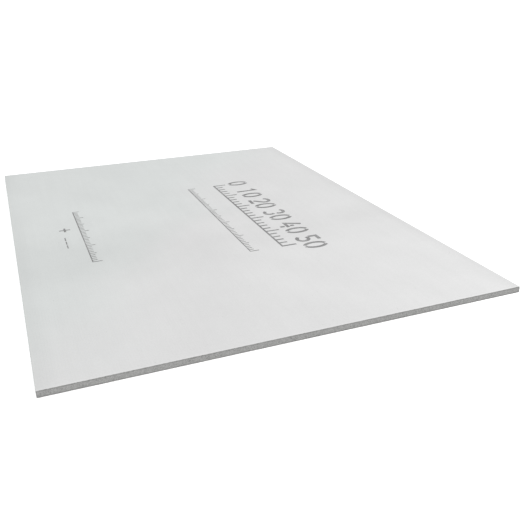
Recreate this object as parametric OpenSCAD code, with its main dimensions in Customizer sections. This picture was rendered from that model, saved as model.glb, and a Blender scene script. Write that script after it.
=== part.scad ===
// Cement board: a flat building board of reinforced lightweight cement, 12.5 mm thick.
//
// The board is one casting, pressed flat between rollers and then sawn to length, so it is one solid.
// It lies face up on its back. The origin is at the centre of the back face, X runs across the
// board, Y runs along it in the direction it is made, and Z points up to the visible face.
// All sizes are in millimetres.

/* [Board] */
// Width, from one formed long edge to the other
board_w = 900; // [300:1:1250]
// Length, from one sawn end to the other
board_l = 1250; // [600:1:3000]
// Thickness, from the back to the visible face
board_t = 12.5; // [6:0.5:25]

/* [Edges] */
// Radius of the arrises along the two formed long edges
long_arris_r = 1; // [0.2:0.1:2.5]
// Radius of the arrises along the two sawn ends
end_arris_r = 0.6; // [0.2:0.1:2.5]
// Radius of the four corners, seen from above
corner_r = 1.2; // [0.2:0.1:20]

/* [Hidden] */
// Facets of a whole circle, where an arris or a corner is drawn
$fn = 48;

// Rectangle centred on the origin whose four corners are rounded to the radius r.
module eased_rectangle(size, r) {
    square([size.x - 2 * r, size.y], center = true);
    square([size.x, size.y - 2 * r], center = true);
    for (x = [-1, 1], y = [-1, 1])
        translate([x * (size.x / 2 - r), y * (size.y / 2 - r)])
            circle(r);
}

// The board's section across its width, run along Y: it shapes the long edges.
module run_along() {
    rotate([90, 0, 0])
        linear_extrude(board_l, center = true)
            eased_rectangle([board_w, board_t], long_arris_r);
}

// The board's section along its length, run along X: it shapes the sawn ends.
module run_across() {
    rotate([90, 0, 90])
        linear_extrude(board_w, center = true)
            eased_rectangle([board_l, board_t], end_arris_r);
}

// The board's outline seen from above, run up through the thickness: it shapes the corners.
module run_up() {
    linear_extrude(board_t, center = true)
        eased_rectangle([board_w, board_l], corner_r);
}

// The one solid: what the two sections and the outline have in common.
module cement_board() {
    color([0.80, 0.81, 0.80])
        translate([0, 0, board_t / 2])
            intersection() {
                run_along();
                run_across();
                run_up();
            }
}

cement_board();
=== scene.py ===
"""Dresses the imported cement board. One closed casting replaces the plain solid: it has the same outline and
arrises, with broken grains and chips on its sawn ends, and a skin over glass-fibre mesh on its faces. On the
face is a generic print: a numbered measuring rule, two fine scales, three dashes and a plus mark. Everything
is in metres, in the row's frame: X across the board, Y along it, Z up out of the visible face."""
import math

import bpy
import numpy as np
from mathutils import Matrix, Vector, geometry, noise


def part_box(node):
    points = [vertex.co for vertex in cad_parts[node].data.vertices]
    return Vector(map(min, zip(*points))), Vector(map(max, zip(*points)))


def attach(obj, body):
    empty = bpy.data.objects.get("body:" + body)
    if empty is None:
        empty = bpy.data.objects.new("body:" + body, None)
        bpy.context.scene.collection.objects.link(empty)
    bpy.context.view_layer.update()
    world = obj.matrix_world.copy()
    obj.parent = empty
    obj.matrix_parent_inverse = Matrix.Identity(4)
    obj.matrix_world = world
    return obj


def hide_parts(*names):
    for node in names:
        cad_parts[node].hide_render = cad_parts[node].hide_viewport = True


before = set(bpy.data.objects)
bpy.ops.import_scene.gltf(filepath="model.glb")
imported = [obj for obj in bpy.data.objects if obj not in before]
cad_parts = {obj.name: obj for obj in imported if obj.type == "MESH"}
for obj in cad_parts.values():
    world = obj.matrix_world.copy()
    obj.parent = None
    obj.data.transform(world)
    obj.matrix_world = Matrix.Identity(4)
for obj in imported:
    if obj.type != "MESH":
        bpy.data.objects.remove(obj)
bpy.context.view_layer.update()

BODY, NODE, SLOT = "root", "cement_board", "cement"
LOW, HIGH = (np.array(corner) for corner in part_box(NODE))
WIDTH, LENGTH, THICKNESS = HIGH - LOW
MIDDLE = (LOW + HIGH)[:2] / 2
MM = 0.001

# The board's own shape, as in the solid
LONG_ARRIS = 1.0 * MM  # radius of the arrises along the two formed long edges
END_ARRIS = 0.6 * MM  # radius of the arrises along the two sawn ends
CORNER = 1.2 * MM  # radius of the four corners, seen from above

# The ink stands a hair proud of the cement, and its top is level with the solid's face
INK_RISE = 0.05 * MM
INK_ROOT = 0.2 * MM  # its underside is sunk this far, below the deepest relief of the face

# Spacing of the mesh
END_STEP, LONG_STEP, FACE_STEP = 0.8 * MM, 4.0 * MM, 15.0 * MM
ARC_STEPS, UPRIGHT_STEPS, CORNER_STEPS = 4, 14, 4
SUPPORT = 0.15 * MM  # a ring this far inside the arrises keeps the faces' shading flat

# Relief, all of it inwards from the solid
FACE_RELIEF, BACK_RELIEF, EDGE_RELIEF = 0.06 * MM, 0.12 * MM, 0.1 * MM
FACE_WAVES = ((6.0, 0.9), (21.0, 0.6))  # the waves of both faces: how many to a metre, and their share
EDGE_WAVES = 22.0  # to a metre, along the formed edges
EDGE_APART = 9.0  # how far each side's waves lie from the last side's in the noise, so that they differ
SAND_RELIEF, PIT_DEPTH = 0.06 * MM, 0.7 * MM

# What broke out of each sawn end: how many bowls, their radii, their depths and where up the edge they lie,
# for the grains of the core, the chips by the face and the chips by the back
BOWLS = (
    (420, (0.9 * MM, 2.2 * MM), (0.2 * MM, PIT_DEPTH), (1.5 * MM, THICKNESS - 1.5 * MM)),
    (45, (0.8 * MM, 1.6 * MM), (0.05 * MM, 0.2 * MM), (THICKNESS - 0.3 * MM, THICKNESS)),
    (70, (0.8 * MM, 1.8 * MM), (0.05 * MM, 0.3 * MM), (0.0, 0.3 * MM)),
)
SEED = 7


# ---------------------------------------------------------------- the casting's mesh

def outline():
    """The stations round the board, counter-clockwise from its near left corner. Each is a row: place,
    outward direction, arris radius, side (0 near end, 1 right, 2 far end, 3 left) and how far along that
    side from its middle."""
    stations = []
    for side in range(4):
        bearing = side * math.pi / 2
        along = np.array([math.cos(bearing), math.sin(bearing)])
        out = np.array([along[1], -along[0]])
        sawn = side % 2 == 0
        reach, depth = (WIDTH / 2, LENGTH / 2) if sawn else (LENGTH / 2, WIDTH / 2)
        arris, next_arris = (END_ARRIS, LONG_ARRIS) if sawn else (LONG_ARRIS, END_ARRIS)
        straight = reach - CORNER
        steps = round(2 * straight / (END_STEP if sawn else LONG_STEP))
        for s in np.linspace(-straight, straight, steps + 1):
            stations.append((*(MIDDLE + along * s + out * depth), *out, arris, side, s))
        pivot = MIDDLE + along * straight + out * (depth - CORNER)
        for k in range(1, CORNER_STEPS):
            share = k / CORNER_STEPS
            turn = share * math.pi / 2
            way = out * math.cos(turn) + along * math.sin(turn)
            radius = arris + (next_arris - arris) * share
            stations.append((*(pivot + way * CORNER), *way, radius, side, straight + CORNER * turn))
    return np.array(stations)


def profile():
    """The stations down an edge, from the face to the back. Each is a row: how far the surface faces up,
    as an angle, how far down the upright part it is, from 0 to 1, and how far inside the arris."""
    quarter = [math.pi / 2 * (1 - k / ARC_STEPS) for k in range(ARC_STEPS + 1)]
    upper = [(tilt, 0.0, 0.0) for tilt in quarter]
    upright = [(0.0, k / UPRIGHT_STEPS, 0.0) for k in range(1, UPRIGHT_STEPS)]
    lower = [(-tilt, 1.0, 0.0) for tilt in reversed(quarter)]
    inner = math.pi / 2
    return np.array([(inner, 0.0, SUPPORT), *upper, *upright, *lower, (-inner, 1.0, SUPPORT)])


def bowls(rng, s, z, count, radii, depths, levels):
    """How deep the bowls left where grains and chips broke out are, at the places s along an edge and z
    up it."""
    depth = np.zeros(z.shape)
    for _ in range(count):
        at, level = rng.uniform(s.min(), s.max()), rng.uniform(*levels)
        radius, deepest = rng.uniform(*radii), rng.uniform(*depths)
        near = ((s - at) ** 2 + (z - level) ** 2) / radius ** 2
        depth = np.maximum(depth, deepest * np.clip(1 - near, 0, 1) ** 1.5)
    return depth


def edge_depth(stations, z):
    """How far each point of the edge lies inside the solid: broken grains, chips and sand on the sawn
    ends, and slow waves on the formed edges."""
    rng = np.random.default_rng(SEED)
    depth = np.zeros(z.shape)
    for side in range(4):
        rows = stations[:, 5] == side
        s, level = stations[rows, 6][:, None], z[rows]
        if side % 2 == 0:
            broken = sum(bowls(rng, s, level, *kind) for kind in BOWLS)
            depth[rows] = broken + rng.uniform(0, SAND_RELIEF, level.shape)
        else:
            wave = [noise.noise(Vector((at * EDGE_WAVES, side * EDGE_APART, 0.0))) for at in s[:, 0]]
            depth[rows] = EDGE_RELIEF * (0.5 + 0.5 * np.array(wave)[:, None])
    return depth


def edge_points(stations, steps):
    """The points of the edge band, a row of them down the edge for each station, and how deep each one
    lies in the solid."""
    x, y, out_x, out_y, radius = (stations[:, k][:, None] for k in range(5))
    tilt, down, inside = steps.T
    thick = THICKNESS - INK_RISE
    inset = radius * (1 - np.cos(tilt)) + inside
    z = (thick - radius) * (1 - down) + radius * down + radius * np.sin(tilt)
    depth = edge_depth(stations, z) * np.cos(tilt)
    inset = inset + depth * np.cos(tilt)
    return np.stack([x - out_x * inset, y - out_y * inset, LOW[2] + z - depth * np.sin(tilt)], -1), depth


def face_points(level, relief, up):
    """A grid of points inside the face at level, sunk into the board by up to relief in slow waves."""
    columns, rows = (round(size / FACE_STEP) for size in (WIDTH, LENGTH))
    points = []
    for y in np.linspace(LOW[1], HIGH[1], rows + 1)[1:-1]:
        for x in np.linspace(LOW[0], HIGH[0], columns + 1)[1:-1]:
            wave = sum(share * noise.noise(Vector((x, y, up)) * pitch) for pitch, share in FACE_WAVES)
            points.append((x, y, level - up * relief * (0.5 + 0.5 * max(-1.0, min(1.0, wave)))))
    return points


def face_triangles(ring, grid):
    """Triangles, as places in ring + grid, over the whole outline of the ring."""
    flat = [Vector(point[:2]) for point in [*ring, *grid]]
    edges = [(k, (k + 1) % len(ring)) for k in range(len(ring))]
    places, _, faces, origins, _, _ = geometry.delaunay_2d_cdt(flat, edges, [], 1, 1e-7)
    if len(places) != len(flat):
        raise SystemExit("two points of the face fell together")
    return [[origins[k][0] for k in face] for face in faces]


EDGE_ZOOM = 4.0  # the edge is this much larger on the map than the faces, for its grain
STRIPS = 10  # the edge is cut into this many strips, one above another
GAP = 8 * MM  # between the islands, at the faces' scale


class BakeMap:
    """Where each face lies on the map to bake through, from 0 to 1 each way."""

    def __init__(self, stations, band):
        rim = stations[:, :2]
        lengths = np.linalg.norm(np.roll(rim, -1, axis=0) - rim, axis=1)
        self.run = np.concatenate([[0.0], np.cumsum(lengths)])
        down = np.linalg.norm(np.diff(band[0], axis=0), axis=1)
        self.drop = np.concatenate([[0.0], np.cumsum(down)])
        self.strip = self.run[-1] / STRIPS
        self.pitch = self.drop[-1] * EDGE_ZOOM + GAP / 2
        self.foot = LENGTH + 2 * GAP
        self.size = max(self.foot + STRIPS * self.pitch, 2 * WIDTH + 3 * GAP)

    def edge(self, station, row):
        """The four corners of the quad between this station and row and the next ones."""
        strip = min(int(self.run[station] / self.strip), STRIPS - 1)
        left, right = ((self.run[k] - strip * self.strip) * EDGE_ZOOM for k in (station, station + 1))
        top, foot = ((self.drop[-1] - self.drop[k]) * EDGE_ZOOM for k in (row, row + 1))
        base = self.foot + strip * self.pitch
        corners = ((left, top), (left, foot), (right, foot), (right, top))
        return [((GAP + u) / self.size, (base + v) / self.size) for u, v in corners]

    def face(self, point, up):
        x, y = point[0] - LOW[0], point[1] - LOW[1]
        u = GAP + x if up > 0 else 2 * GAP + 2 * WIDTH - x
        return u / self.size, (GAP + y) / self.size


KINDS = ("face", "back", "formed", "sawn")


def board_mesh():
    """The whole casting as one closed mesh: its points, faces, their kinds and their places to bake, and
    how deep each point lies in a pit."""
    stations, steps = outline(), profile()
    band, depth = edge_points(stations, steps)
    count, rows = band.shape[:2]
    bake = BakeMap(stations, band)
    points, pits = [tuple(point) for point in band.reshape(-1, 3)], list(depth.ravel() / PIT_DEPTH)
    faces, kinds, places = [], [], []
    for i in range(count):
        n = (i + 1) % count
        out_x, out_y = np.abs(stations[i, 2:4] + stations[n, 2:4])
        for j in range(rows - 1):
            faces.append((i * rows + j, i * rows + j + 1, n * rows + j + 1, n * rows + j))
            kinds.append("sawn" if out_y > out_x else "formed")  # the two meet half-way round each corner
            places += bake.edge(i, j)
    for kind, up, row, level, relief in (
        ("face", 1, 0, HIGH[2] - INK_RISE, FACE_RELIEF),
        ("back", -1, rows - 1, LOW[2], BACK_RELIEF),
    ):
        grid = face_points(level, relief, up)
        start = len(points)
        points += grid
        pits += [0.0] * len(grid)
        for triangle in face_triangles(band[:, row], grid):
            ids = [k * rows + row if k < count else start + k - count for k in triangle]
            a, b, c = (np.array(points[k][:2]) for k in ids)
            turns_left = np.cross(b - a, c - a) > 0
            ids = ids if turns_left == (up > 0) else ids[::-1]
            faces.append(ids)
            kinds.append(kind)
            places += [bake.face(points[k], up) for k in ids]
    return points, faces, kinds, places, pits


def add_piece(name, points, faces):
    """A new piece that rides on the board's body."""
    mesh = bpy.data.meshes.new(name)
    mesh.from_pydata(points, [], faces)
    piece = bpy.data.objects.new(name, mesh)
    bpy.context.scene.collection.objects.link(piece)
    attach(piece, BODY)
    return piece


def build_board(materials):
    points, faces, kinds, places, pits = board_mesh()
    board = add_piece("board", points, faces)
    mesh = board.data
    for kind in KINDS:
        mesh.materials.append(materials[kind])
    mesh.polygons.foreach_set("material_index", [KINDS.index(kind) for kind in kinds])
    mesh.polygons.foreach_set("use_smooth", [True] * len(faces))
    mesh.uv_layers.new(name="OFBake").data.foreach_set("uv", np.array(places).ravel())
    # how deep each point lies in a pit; the core's material paints shade into the pits from it
    mesh.attributes.new("pit", "FLOAT", "POINT").data.foreach_set("value", pits)
    mesh.update()
    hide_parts(NODE)


# ---------------------------------------------------------------- materials

# Linear greys. The skin leans to green towards its far left corner, farthest from the softbox, and is neutral
# elsewhere; the green is a painted tint of light.
COOL, PLAIN = (0.97, 1.0, 0.99), (1.0, 1.0, 1.0)
SKIN_GREY, BACK_GREY = 0.515, 0.42
CORE_GREY, STRAND_GREY, INK_GREY = 0.249, 0.40, 0.175
CORE_TINT, STRAND_TINT = (1.0, 1.0, 0.985), (1.0, 0.99, 0.95)
CORE_PAINTED_SHADES = (1.03, 0.925)  # painted shade: the core is a shade darker towards its right side, nearest the softbox, to even out its light
COOL_SLANT, COOL_ENDS = (0.8, 0.5), (-0.2, 0.08)  # which way the green fades out, and from where to where

SCRIM_PITCH, SCRIM_WIDTH = 5.0 * MM, 1.2 * MM  # the glass-fibre mesh as it tells through the skin
STRAND_WIDTH = 1.1 * MM  # its strands where the saw cut them
SCRIM_DEPTH = 1.1 * MM  # how far its cut strands lie below the faces
CLOUDS = ((2.0, 0.08), (5.0, 0.05))  # the skin's soft clouds: how many to a metre, and how strong
DULL_AT, DULL_REACH, DULL_SHADE = -0.15, 0.2, 0.96  # a duller stretch across the board, near its middle
MARGIN_WIDTH, MARGIN_SHADE = 45 * MM, 0.955  # the denser and darker margin along the two formed edges
ARRIS_HIGHLIGHT_WIDTH, ARRIS_HIGHLIGHT_SHADE = 7 * MM, 1.05  # a painted highlight: the paler line along the two sawn ends, for the light their arrises catch
LAP_WIDTH, LAP_SHADE = 32 * MM, 0.95  # how far the face's mesh is turned over on to the back
LAP_EDGE = 0.4 * MM  # the step at the lap's end is spread over this much either way
# the pinholes' darkening is painted shade in them
THREAD_SHADE, PINHOLE_PAINTED_SHADE, PINHOLE_DEPTH = 0.972, 0.62, 0.3 * MM
FINE_GRAIN = 850.0  # the fine grain of the skin and of the ink on it, to a metre

# The sawn core: its darkest and palest grains, and how dark its pores, its pits and its dense rim are; the
# pores and pits are darkened as painted shade
GRAIN_SHADES, SMALL_GRAIN_SHADES = (0.87, 1.14), (0.80, 1.26)
PORE_PAINTED_SHADE, PIT_PAINTED_SHADE, RIM_SHADE = 0.5, 0.84, 0.80
RIM_ENDS, SKIN_ENDS = (1.8 * MM, 2.8 * MM), (0.1 * MM, 0.3 * MM)  # the depths at which they fade out


def grey(level, tint=PLAIN):
    return tuple(level * t for t in tint)


class Surface:
    """A material's nodes, with a short call for each kind that is used here. Its coordinates are the
    board's own, in metres."""

    def __init__(self, name, roughness, specular):
        self.material = bpy.data.materials.new(name)
        self.material.use_nodes = True
        tree = self.material.node_tree
        self.nodes, self.links = tree.nodes, tree.links
        self.shader = self.nodes["Principled BSDF"]
        self.shader.inputs["Roughness"].default_value = roughness
        self.shader.inputs["Specular IOR Level"].default_value = specular
        self.place = self.nodes.new("ShaderNodeTexCoord").outputs["Object"]
        split = self.nodes.new("ShaderNodeSeparateXYZ")
        self.feed(split.inputs[0], self.place)
        self.x, self.y, self.z = split.outputs

    def feed(self, socket, value):
        if isinstance(value, bpy.types.NodeSocket):
            self.links.new(value, socket)
        elif value is not None:
            socket.default_value = value

    def math(self, operation, a, b=None):
        node = self.nodes.new("ShaderNodeMath")
        node.operation = operation
        self.feed(node.inputs[0], a)
        self.feed(node.inputs[1], b)
        return node.outputs[0]

    def vector(self, operation, a, b):
        node = self.nodes.new("ShaderNodeVectorMath")
        node.operation = operation
        self.feed(node.inputs[0], a)
        self.feed(node.inputs["Scale" if operation == "SCALE" else 1], b)
        return node.outputs[0]

    def noise(self, scale, detail=2.0, place=None, output="Fac"):
        node = self.nodes.new("ShaderNodeTexNoise")
        self.feed(node.inputs["Vector"], place or self.place)
        node.inputs["Scale"].default_value = scale
        node.inputs["Detail"].default_value = detail
        return node.outputs[output]

    def cloud(self, scale, strength):
        """Soft lighter and darker patches round 1."""
        return self.math("ADD", 1 - strength / 2, self.product(self.noise(scale), strength))

    def wander(self, scale, reach):
        """The coordinates shifted by up to half of reach each way, so that edges come out ragged."""
        shift = self.vector("SUBTRACT", self.noise(scale, output="Color"), (0.5, 0.5, 0.5))
        return self.vector("ADD", self.place, self.vector("SCALE", shift, reach))

    def spots(self, scale, share, least, most, place):
        """Round spots at random places, one in some of the cells. share is how many cells have one, and
        least and most are the spots' radii, in cells. Gives 1 inside a spot and 0 outside, and a random
        number for each spot."""
        node = self.nodes.new("ShaderNodeTexVoronoi")
        self.feed(node.inputs["Vector"], place)
        node.inputs["Scale"].default_value = scale
        chance = self.math("FRACT", self.math("MULTIPLY", node.outputs["Color"], 7.31))
        radius = self.span(chance, 0.0, share, least, most)
        inside = self.span(self.math("DIVIDE", node.outputs["Distance"], radius), 0.8, 1.0, 1.0, 0.0)
        luck = self.math("FRACT", self.math("MULTIPLY", chance, 13.7))
        return self.product(inside, self.math("LESS_THAN", chance, share)), luck

    def vary(self, field, amount, spread=0.2):
        """A noise turned into a shade within amount of 1. It is full at spread either side of the middle."""
        return self.span(field, 0.5 - spread, 0.5 + spread, 1 - amount, 1 + amount)

    def span(self, value, low, high, to_low=0.0, to_high=1.0):
        """value carried smoothly from low..high to to_low..to_high, and held there outside."""
        node = self.nodes.new("ShaderNodeMapRange")
        node.interpolation_type = "SMOOTHSTEP"
        for socket, given in zip(node.inputs, (value, low, high, to_low, to_high)):
            self.feed(socket, given)
        return node.outputs[0]

    def product(self, first, *others):
        for other in others:
            first = self.math("MULTIPLY", first, other)
        return first

    def largest(self, first, *others):
        for other in others:
            first = self.math("MAXIMUM", first, other)
        return first

    def blend(self, share, a, b):
        """A number between a, where share is 0, and b, where it is 1."""
        return self.math("ADD", self.product(share, self.math("SUBTRACT", b, a)), a)

    def mix(self, share, a, b):
        """A colour between a, where share is 0, and b, where it is 1."""
        node = self.nodes.new("ShaderNodeMix")
        node.data_type = "RGBA"
        self.feed(node.inputs[0], share)
        for socket, colour in zip((node.inputs[6], node.inputs[7]), (a, b)):
            self.feed(socket, colour if isinstance(colour, bpy.types.NodeSocket) else (*colour, 1.0))
        return node.outputs[2]

    def wobbly(self, value, scale, reach):
        """value shifted by up to half of reach either way, so that straight lines wander."""
        shift = self.product(self.math("SUBTRACT", self.noise(scale, 1.0), 0.5), reach)
        return self.math("ADD", value, shift)

    def lines(self, value, pitch, width):
        """1 on soft lines at each pitch along value, and 0 between them."""
        return self.span(self.math("PINGPONG", value, pitch / 2), 0.0, width / 2, 1.0, 0.0)

    def bump(self, height, distance, over=None):
        node = self.nodes.new("ShaderNodeBump")
        node.inputs["Distance"].default_value = distance
        self.feed(node.inputs["Height"], height)
        self.feed(node.inputs["Normal"], over)
        return node.outputs[0]

    def finish(self, colour, normal):
        self.feed(self.shader.inputs["Base Color"], colour)
        self.feed(self.shader.inputs["Normal"], normal)
        return self.material


def skin(name, level=SKIN_GREY, clouds=1.0, scrim=0.05 * MM, grit=0.03 * MM, lap=0.0, wraps=False):
    """Pressed cement over the glass-fibre mesh: cloudy in the large and grainy close up, with streaks
    along the way it was rolled, the mesh just telling through, and pinholes darkened with painted shade.
    A paler line of painted highlight runs along the sawn ends, and a painted green tint of light lies
    towards the far left corner. lap is the step where the face's mesh ends on the back, and wraps is for
    the formed edges, round which it turns down."""
    s = Surface(name, roughness=0.88, specular=0.25)
    patch = s.noise(9.0, 3.0)
    streak = s.noise(1.0, 2.0, s.vector("MULTIPLY", s.place, (70.0, 2.5, 70.0)))
    inward = s.math("SUBTRACT", WIDTH / 2, s.math("ABSOLUTE", s.x))
    margin = s.span(s.wobbly(inward, 12.0, 20 * MM), 0.0, MARGIN_WIDTH, 1.0, 0.0)
    from_cut = s.math("SUBTRACT", LENGTH / 2, s.math("ABSOLUTE", s.y))
    # painted highlight: a paler line along the sawn ends, for the light their arrises catch
    painted_highlight = s.span(s.wobbly(from_cut, 40.0, 3 * MM), 1 * MM, ARRIS_HIGHLIGHT_WIDTH, 1.0, 0.0)
    from_dull = s.math("ABSOLUTE", s.math("SUBTRACT", s.y, DULL_AT))
    dull = s.span(s.wobbly(from_dull, 3.0, 0.1), 0.0, DULL_REACH, 1.0, 0.0)
    grain = s.noise(FINE_GRAIN, 4.0)
    tone = s.product(
        *(s.cloud(scale, strength * clouds) for scale, strength in CLOUDS),
        s.vary(patch, 0.012 * clouds),
        s.vary(streak, 0.006),
        s.blend(dull, 1.0, DULL_SHADE),
        s.blend(margin, 1.0, MARGIN_SHADE),
        s.blend(painted_highlight, 1.0, ARRIS_HIGHLIGHT_SHADE),
        s.vary(s.noise(230.0), 0.007),
        s.vary(grain, 0.035, spread=0.22),
    )
    ways = (s.x, s.y, s.z) if wraps else (s.x, s.y)
    threads = s.largest(*(s.lines(s.wobbly(way, 60.0, 1.4 * MM), SCRIM_PITCH, SCRIM_WIDTH) for way in ways))
    threads = s.product(threads, s.span(s.noise(25.0), 0.38, 0.62, 0.25, 1.0))
    holes, _ = s.spots(110.0, share=0.2, least=0.02, most=0.075, place=s.wander(700.0, 0.7 * MM))
    # painted shade in the pinholes
    tone = s.product(tone, s.blend(threads, 1.0, THREAD_SHADE), s.blend(holes, 1.0, PINHOLE_PAINTED_SHADE))
    normal = None
    if lap:
        ragged = s.wobbly(inward, 9.0, 8 * MM)
        lapped = s.span(ragged, LAP_WIDTH - LAP_EDGE, LAP_WIDTH + LAP_EDGE, 1.0, 0.0)
        tone = s.product(tone, s.blend(lapped, 1.0, LAP_SHADE))
        normal = s.bump(lapped, lap)
    # painted tint of light: greener towards the far left corner, farthest from the softbox
    slant = s.math("SUBTRACT", s.product(s.x, COOL_SLANT[0]), s.product(s.y, COOL_SLANT[1]))
    warmth = s.span(s.wobbly(slant, 3.1, 0.4), *COOL_ENDS)
    colour = s.vector("SCALE", s.mix(warmth, grey(level, COOL), grey(level)), tone)
    s.feed(s.shader.inputs["Roughness"], s.span(patch, 0.3, 0.7, 0.84, 0.92))
    normal = s.bump(threads, scrim, normal)
    normal = s.bump(grain, grit, normal)
    return s.finish(colour, s.bump(s.product(holes, -1.0), PINHOLE_DEPTH, normal))


def sawn_core():
    """The cut core: grey paste set with lighter and darker grains, with pores and faint saw marks. Its pores
    and pits are darkened with painted shade, and it is painted a shade darker towards its right side, nearest
    the softbox. Round it runs a denser and darker layer, which holds the cut strands of the glass-fibre mesh,
    under a pale skin."""
    s = Surface("sawn_core", roughness=0.93, specular=0.2)
    grains, luck = s.spots(360.0, share=1.0, least=0.44, most=0.54, place=s.wander(1100.0, 0.8 * MM))
    small, small_luck = s.spots(780.0, share=1.0, least=0.40, most=0.50, place=s.wander(2200.0, 0.4 * MM))
    pores, _ = s.spots(620.0, share=0.22, least=0.1, most=0.3, place=s.wander(1500.0, 0.5 * MM))
    pit = s.nodes.new("ShaderNodeAttribute")
    pit.attribute_name = "pit"
    sand = s.noise(1500.0, 4.0)
    saw = s.noise(1.0, 1.0, s.vector("MULTIPLY", s.place, (1300.0, 1300.0, 90.0)))
    below, inward = (
        s.math("SUBTRACT", half, s.math("ABSOLUTE", s.math("SUBTRACT", way, middle)))
        for way, middle, half in ((s.z, THICKNESS / 2, THICKNESS / 2), (s.x, 0.0, WIDTH / 2))
    )
    depth = s.wobbly(s.math("MINIMUM", below, inward), 260.0, 0.7 * MM)
    dense = s.span(depth, *RIM_ENDS, 1.0, 0.0)
    tone = s.product(
        s.blend(grains, 1.0, s.span(luck, 0.0, 1.0, *GRAIN_SHADES)),
        s.blend(small, 1.0, s.span(small_luck, 0.0, 1.0, *SMALL_GRAIN_SHADES)),
        # painted shade in the pores
        s.blend(pores, 1.0, PORE_PAINTED_SHADE),
        s.blend(dense, 1.0, RIM_SHADE),
        # painted shade in the pits
        s.span(pit.outputs["Fac"], 0.1, 0.9, 1.0, PIT_PAINTED_SHADE),
        s.vary(sand, 0.14, spread=0.22),
        s.vary(saw, 0.035),
        s.vary(s.noise(14.0, 3.0), 0.01),
        # painted shade towards the right side, nearest the softbox
        s.span(s.x, -WIDTH / 2, WIDTH / 2, *CORE_PAINTED_SHADES),
    )
    core = s.vector("SCALE", grey(CORE_GREY, CORE_TINT), tone)
    skins = s.span(depth, *SKIN_ENDS, 1.0, 0.0)
    colour = s.mix(s.product(skins, 0.7), core, grey(SKIN_GREY))
    level = s.math("ABSOLUTE", s.math("SUBTRACT", s.wobbly(below, 70.0, 0.8 * MM), SCRIM_DEPTH))
    strands = s.product(
        s.lines(s.wobbly(s.x, 150.0, 4.0 * MM), SCRIM_PITCH, STRAND_WIDTH),
        s.span(level, 0.1 * MM, 0.35 * MM, 1.0, 0.0),
        s.span(s.noise(90.0), 0.42, 0.6),
    )
    colour = s.mix(s.product(strands, 0.8), colour, grey(STRAND_GREY, STRAND_TINT))
    normal = s.bump(s.product(grains, s.math("SUBTRACT", luck, 0.5)), 0.3 * MM)
    normal = s.bump(s.product(small, s.math("SUBTRACT", small_luck, 0.5)), 0.15 * MM, normal)
    normal = s.bump(s.product(pores, -1.0), 0.35 * MM, normal)
    normal = s.bump(saw, 0.08 * MM, normal)
    return s.finish(colour, s.bump(sand, 0.15 * MM, normal))


def ink():
    """Dark grey printing ink, thin enough for the cement's grain to break through it in places."""
    s = Surface("ink", roughness=0.75, specular=0.25)
    worn = s.span(s.noise(45.0, 3.0), 0.35, 0.7, 0.68, 0.52)
    gaps = s.span(s.math("SUBTRACT", s.noise(1100.0, 3.0), worn), 0.0, 0.08)
    tone = s.vary(s.noise(16.0), 0.1)
    dark = s.vector("SCALE", grey(INK_GREY), tone)
    colour = s.mix(s.product(gaps, 0.75), dark, grey(SKIN_GREY * 0.9))
    return s.finish(colour, s.bump(s.noise(FINE_GRAIN, 4.0), 0.03 * MM))


# ---------------------------------------------------------------- print

# Graduated scales along the board: where their base line lies across it, from and to along it, their
# step, and the lengths of the ticks at every step, every fifth and every tenth
RULE = (0.112, -0.25, 0.25, 20 * MM, (18 * MM, 32 * MM, 32 * MM))
FINE_SCALES = (
    (0.034, -0.25, 0.25, 10 * MM, (10 * MM, 14 * MM, 19 * MM)),
    (-0.297, -0.17, 0.18, 10 * MM, (10 * MM, 14 * MM, 19 * MM)),
)
RULE_STROKES, FINE_STROKES = (4.5 * MM, 6.0 * MM), (2.5 * MM, 3.2 * MM)  # the base lines and the ticks
LABEL_STEP, LABEL_FOOT, DIGIT_HEIGHT = 0.1, 0.153, 58 * MM
DASHES = (-0.338, -0.070, 0.000, 20 * MM, 5 * MM, 2.5 * MM)  # across, from, to, dash, gap and thickness
PLUS_AT, PLUS_SIZE, PLUS_STROKE = (-0.3325, 0.0525), 26 * MM, 5.0 * MM


ARC_POINTS = 16  # along each curved stroke of a digit


def arc(x, y, across, up, start, end):
    """Points along part of an ellipse round (x, y), in degrees counter-clockwise from its right."""
    turns = np.radians(np.linspace(start, end, ARC_POINTS))
    return [(x + across * math.cos(turn), y + up * math.sin(turn)) for turn in turns]


# Plain stencilled digits in a box 0.6 wide and 1 high: the middle lines of their strokes
DIGIT_STROKE, DIGIT_WIDTH, DIGIT_PITCH = 0.15, 0.6, 0.72
DIGITS = {
    "0": [arc(0.3, 0.5, 0.235, 0.435, 100, 260), arc(0.3, 0.5, 0.235, 0.435, 80, -80)],
    "1": [[(0.08, 0.78), (0.3, 0.935), (0.3, 0.0)]],
    "2": [[*arc(0.3, 0.7, 0.235, 0.235, 170, -35), (0.18, 0.22)], [(0.04, 0.07), (0.56, 0.07)]],
    "3": [arc(0.285, 0.72, 0.215, 0.215, 150, -45), arc(0.285, 0.28, 0.215, 0.215, 45, -150)],
    "4": [
        [(0.37, 0.97), (0.07, 0.33), (0.57, 0.33)],
        [(0.43, 0.62), (0.43, 0.45)],
        [(0.43, 0.21), (0.43, 0.0)],
    ],
    "5": [[(0.52, 0.93), (0.13, 0.93), (0.13, 0.6)], arc(0.285, 0.3, 0.235, 0.235, 125, -150)],
}
SHARPEST = 0.6  # a stroke's corner is cut short where it would be longer than its width over this


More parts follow.
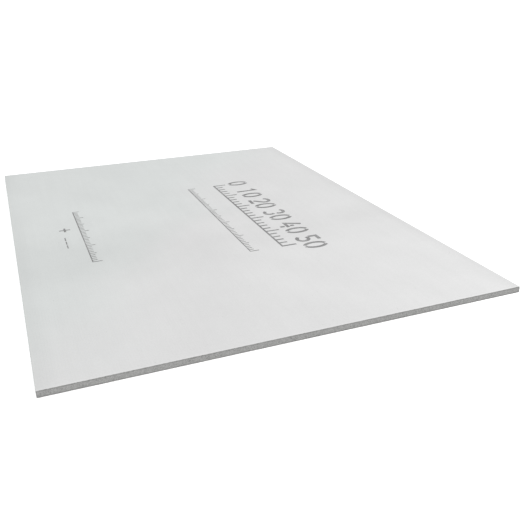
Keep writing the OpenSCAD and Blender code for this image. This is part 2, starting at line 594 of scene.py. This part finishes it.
def stroke(path, width):
    """The outline of a line of this width along a path, counter-clockwise and square at both ends."""
    path = np.array(path)
    ways = np.diff(path, axis=0)
    ways /= np.linalg.norm(ways, axis=1)[:, None]
    after = np.vstack([ways, ways[-1:]])
    middle = after + np.vstack([ways[:1], ways])
    middle /= np.linalg.norm(middle, axis=1)[:, None]
    reach = width / 2 / np.maximum((middle * after).sum(1), SHARPEST)
    left = np.stack([-middle[:, 1], middle[:, 0]], -1) * reach[:, None]
    return [*(path - left), *(path + left)[::-1]]


def number_outlines(number, y):
    """A plain number beside the rule, centred on y. It is read from the rule's far end to its near one."""
    text = str(number)
    width = (len(text) - 1) * DIGIT_PITCH + DIGIT_WIDTH
    outlines = []
    for place, digit in enumerate(text):
        corner = np.array([LABEL_FOOT, y - (place * DIGIT_PITCH - width / 2) * DIGIT_HEIGHT])
        for path in DIGITS[digit]:
            shape = stroke(path, DIGIT_STROKE)
            outlines.append([corner + np.array([v, -u]) * DIGIT_HEIGHT for u, v in shape])
    return outlines


def scale_outline(foot, start, end, step, ticks, strokes):
    """A scale's base line and ticks as one comb, whose teeth point to the right."""
    base, tick = strokes
    steps = round((end - start) / step)
    corners = [(foot - base, end + tick / 2), (foot - base, start - tick / 2)]
    for k in range(steps + 1):
        tip = foot + ticks[2 if k % 10 == 0 else 1 if k % 5 == 0 else 0]
        near, far = start + k * step - tick / 2, start + k * step + tick / 2
        tooth = [(foot, near), (tip, near), (tip, far), (foot, far)]
        corners += tooth[1:] if k == 0 else tooth[:3] if k == steps else tooth
    return corners


def plus_outline():
    """A plain plus mark, counter-clockwise."""
    x, y = PLUS_AT
    arm, half = PLUS_SIZE / 2, PLUS_STROKE / 2
    corners = []
    for c, s in ((1, 0), (0, 1), (-1, 0), (0, -1)):
        for u, v in ((half, -half), (arm, -half), (arm, half)):
            corners.append((x + c * u - s * v, y + s * u + c * v))
    return corners


def dashes(x, start, end, dash, gap, thick):
    """The outlines of a dashed line along the board, with whole dashes at both ends."""
    count = round((end - start + gap) / (dash + gap))
    pitch = (end - start + gap) / count
    outlines = []
    for k in range(count):
        y = start + k * pitch
        outlines.append(stroke([(x, y), (x, y + pitch - gap)], thick))
    return outlines


def build_print(material):
    """Every mark is a closed prism of ink, sunk into the face and standing a little proud of it."""
    outlines = [scale_outline(*RULE, RULE_STROKES), plus_outline(), *dashes(*DASHES)]
    outlines += [scale_outline(*scale, FINE_STROKES) for scale in FINE_SCALES]
    near, far = RULE[1:3]
    for k in range(round((far - near) / LABEL_STEP) + 1):
        outlines += number_outlines(10 * k, far - k * LABEL_STEP)
    top, foot = HIGH[2], HIGH[2] - INK_RISE - INK_ROOT
    points, faces = [], []
    for corners in outlines:
        start, count = len(points), len(corners)
        points += [(x, y, level) for level in (foot, top) for x, y in corners]
        lower, upper = (range(start + k * count, start + (k + 1) * count) for k in (0, 1))
        faces += [upper, lower[::-1]]
        faces += [(lower[k - 1], lower[k], upper[k], upper[k - 1]) for k in range(count)]
    add_piece("print", points, faces).data.materials.append(material)


# ---------------------------------------------------------------- floor, light and camera

EYE = Vector((-0.4329, -1.5041, 0.5697))
YAW, PITCH, ROLL = (math.radians(angle) for angle in (-21.636, 23.745, -0.757))
LENS, SENSOR = 44.66, 36.0
NEAREST, FARTHEST = 0.01, 200.0  # what the camera sees, in metres from it
WHITE, FLOOR_WHITE = (1.0, 1.0, 1.0, 1.0), (0.98, 0.98, 0.98, 1.0)
WORLD_LIGHT = 1.2
FLOOR_REACH, FLOOR_DROP = 60.0, 0.1 * MM  # to each side, and how far it lies below the board
FLOOR_GLOW = 0.15  # keeps the ground as white as the photo's, with hardly a shadow beside the board
LAMP_AT, LAMP_SIZE, LAMP_POWER = Vector((2.1, -1.4, 1.5)), 1.0, 34.0


def place(name, data, matrix):
    holder = bpy.data.objects.new(name, data)
    holder.matrix_world = matrix
    bpy.context.scene.collection.objects.link(holder)
    return holder


def build_camera():
    camera = bpy.data.cameras.new("camera")
    camera.lens, camera.sensor_width = LENS, SENSOR
    camera.clip_start, camera.clip_end = NEAREST, FARTHEST
    turn = Matrix.Rotation(YAW, 4, "Z") @ Matrix.Rotation(math.pi / 2 - PITCH, 4, "X")
    turn = turn @ Matrix.Rotation(ROLL, 4, "Z")
    bpy.context.scene.camera = place("camera", camera, Matrix.Translation(EYE) @ turn)


def build_floor():
    reach, level = FLOOR_REACH, LOW[2] - FLOOR_DROP
    mesh = bpy.data.meshes.new("floor")
    corners = [(x * reach, y * reach, level) for x, y in ((-1, -1), (1, -1), (1, 1), (-1, 1))]
    mesh.from_pydata(corners, [], [(0, 1, 2, 3)])
    pale = bpy.data.materials.new("floor")
    pale.use_nodes = True
    shader = pale.node_tree.nodes["Principled BSDF"]
    shader.inputs["Base Color"].default_value = FLOOR_WHITE
    shader.inputs["Roughness"].default_value = 1.0
    shader.inputs["Specular IOR Level"].default_value = 0.0
    shader.inputs["Emission Color"].default_value = WHITE
    shader.inputs["Emission Strength"].default_value = FLOOR_GLOW
    mesh.materials.append(pale)
    place("floor", mesh, Matrix.Identity(4))


def build_light():
    world = bpy.data.worlds.new("studio")
    world.use_nodes = True
    sky = world.node_tree.nodes["Background"]
    sky.inputs["Color"].default_value = WHITE
    sky.inputs["Strength"].default_value = WORLD_LIGHT
    bpy.context.scene.world = world
    lamp = bpy.data.lights.new("softbox", "AREA")
    lamp.shape, lamp.size = "SQUARE", LAMP_SIZE
    lamp.energy = LAMP_POWER
    aim = (-LAMP_AT).to_track_quat("-Z", "Y").to_matrix().to_4x4()
    place("softbox", lamp, Matrix.Translation(LAMP_AT) @ aim)
    bpy.context.scene.view_settings.view_transform = "Standard"


build_camera()
build_floor()
build_light()
build_board({
    "face": skin("face_skin"),
    "back": skin("back_skin", BACK_GREY, clouds=1.4, scrim=0.25 * MM, grit=0.10 * MM, lap=0.4 * MM),
    "formed": skin("formed_edge", scrim=0.10 * MM, grit=0.05 * MM, wraps=True),
    "sawn": sawn_core(),
})
build_print(ink())
